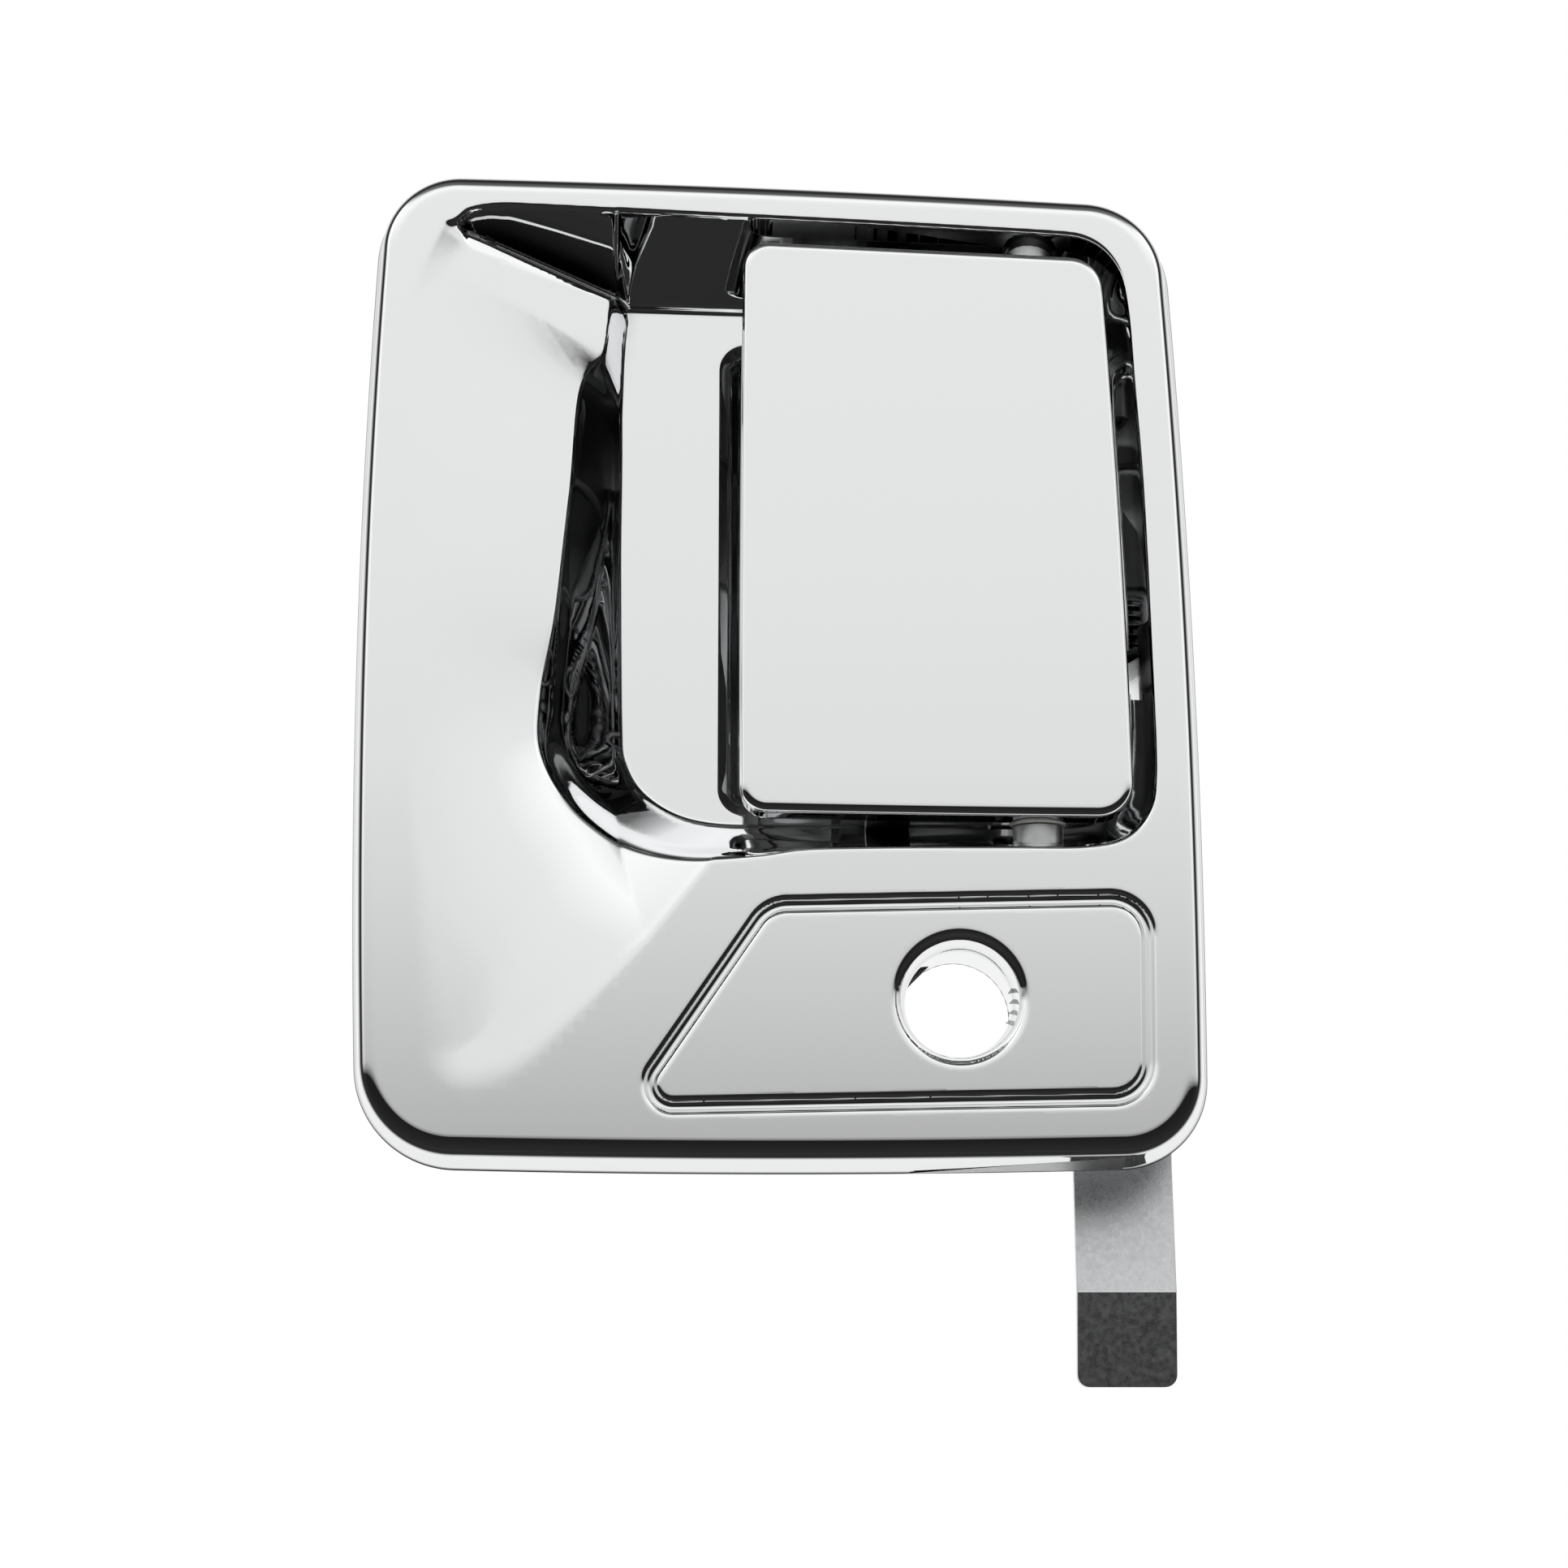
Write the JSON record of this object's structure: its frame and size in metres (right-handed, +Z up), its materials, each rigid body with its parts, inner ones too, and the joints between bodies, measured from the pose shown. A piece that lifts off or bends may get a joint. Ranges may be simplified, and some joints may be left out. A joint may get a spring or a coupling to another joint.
{
  "type": "car door handle",
  "caption": "Exterior door handle with a hinged pull paddle in a chromed finger-pocket bezel, a lock cylinder hole and a release lever behind.",
  "frame": {"origin": "on the door skin plane, at the middle of the lower run of the gasket", "axes": "+X towards the hinge side of the paddle, +Y into the door, +Z up"},
  "size_m": [0.1547, 0.0475, 0.2244],
  "materials": {
    "bezel_chrome": "bright chrome plate on a zinc die casting",
    "paddle_chrome": "bright chrome plate on a zinc die casting",
    "lever_zinc": "zinc-plated pressed steel with a faint spangle",
    "fastener_zinc": "bright zinc-plated steel",
    "spring_steel": "oiled spring steel",
    "gasket_foam": "matt black closed-cell sealing foam",
    "nylon": "natural nylon",
    "rubber": "matt black moulded rubber"
  },
  "bodies": {
    "housing": {"bezel_housing": "bezel_chrome", "perimeter_gasket": "gasket_foam", "upper_stud": "fastener_zinc", "upper_flange_nut": "fastener_zinc", "upper_stud_seal": "gasket_foam", "lower_stud": "fastener_zinc", "lower_flange_nut": "fastener_zinc", "lower_stud_seal": "gasket_foam", "hinge_pin": "fastener_zinc", "hinge_pin_clip": "spring_steel", "paddle_return_spring": "spring_steel", "lower_bump_stop": "rubber", "upper_bump_stop": "rubber", "lever_pivot_pin": "fastener_zinc", "lever_pivot_clip": "spring_steel", "lever_return_spring": "spring_steel", "lever_stop_bumper": "rubber", "lock_retainer_clip": "spring_steel"},
    "paddle": {"paddle": "paddle_chrome", "lower_hinge_bush": "nylon", "upper_hinge_bush": "nylon"},
    "release_lever": {"release_lever": "lever_zinc", "lever_spacer_tube": "nylon"}
  },
  "joints": [
    {"name": "paddle_pull", "type": "hinge", "parent": "housing", "child": "paddle", "pos_m": [0.047, -0.004, 0.115], "axis": [0, 0, 1], "range_deg": [0, 28], "stiffness_Nm_per_rad": 0.5, "springref_deg": -28.65, "deforming": ["paddle_return_spring"]},
    {"name": "lever_swing", "type": "hinge", "parent": "housing", "child": "release_lever", "pos_m": [0.0535, 0.0295, 0.14], "axis": [1, 0, 0], "range_deg": [0, 6.4], "stiffness_Nm_per_rad": 1, "springref_deg": -14.32, "deforming": ["lever_return_spring"]}
  ],
  "couplings": [
    {"joint": "lever_swing", "follows": "paddle_pull", "ratio": 0.2214}
  ]
}
